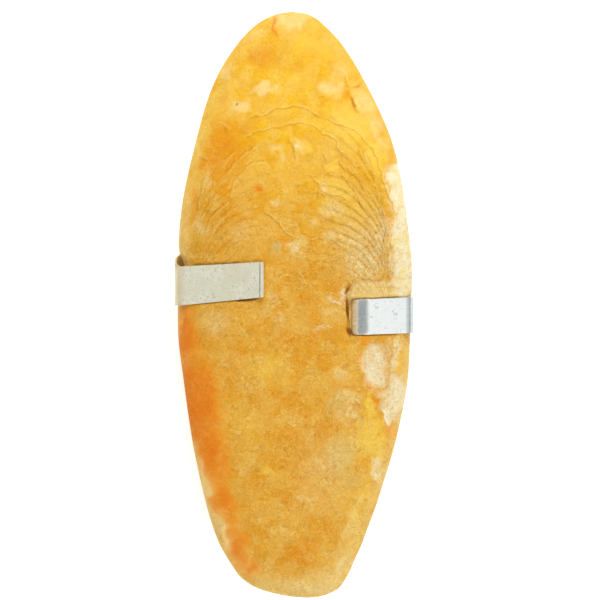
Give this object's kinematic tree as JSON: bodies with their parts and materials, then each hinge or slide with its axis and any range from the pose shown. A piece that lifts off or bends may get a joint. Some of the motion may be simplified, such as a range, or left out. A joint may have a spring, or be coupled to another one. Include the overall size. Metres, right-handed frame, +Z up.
{
  "type": "cuttlebone with holder",
  "caption": "Long oval cuttlebone, dyed yellow-orange, held by a bent sheet-metal holder that hooks on the bars of a bird cage.",
  "frame": {"origin": "middle of the bounding box in plan, at the lower faces of the two hooks that it lies on", "axes": "+X across the bone to the picture's right, +Y along it to its rounded front end, +Z up out of its soft face"},
  "size_m": [0.0619, 0.152, 0.0211],
  "materials": {
    "dyed_bone": "matt, chalky and porous",
    "tinplate": "bright tin, smudged"
  },
  "bodies": {
    "root": {"cuttlebone": "dyed_bone", "holder": "tinplate"}
  },
  "joints": []
}
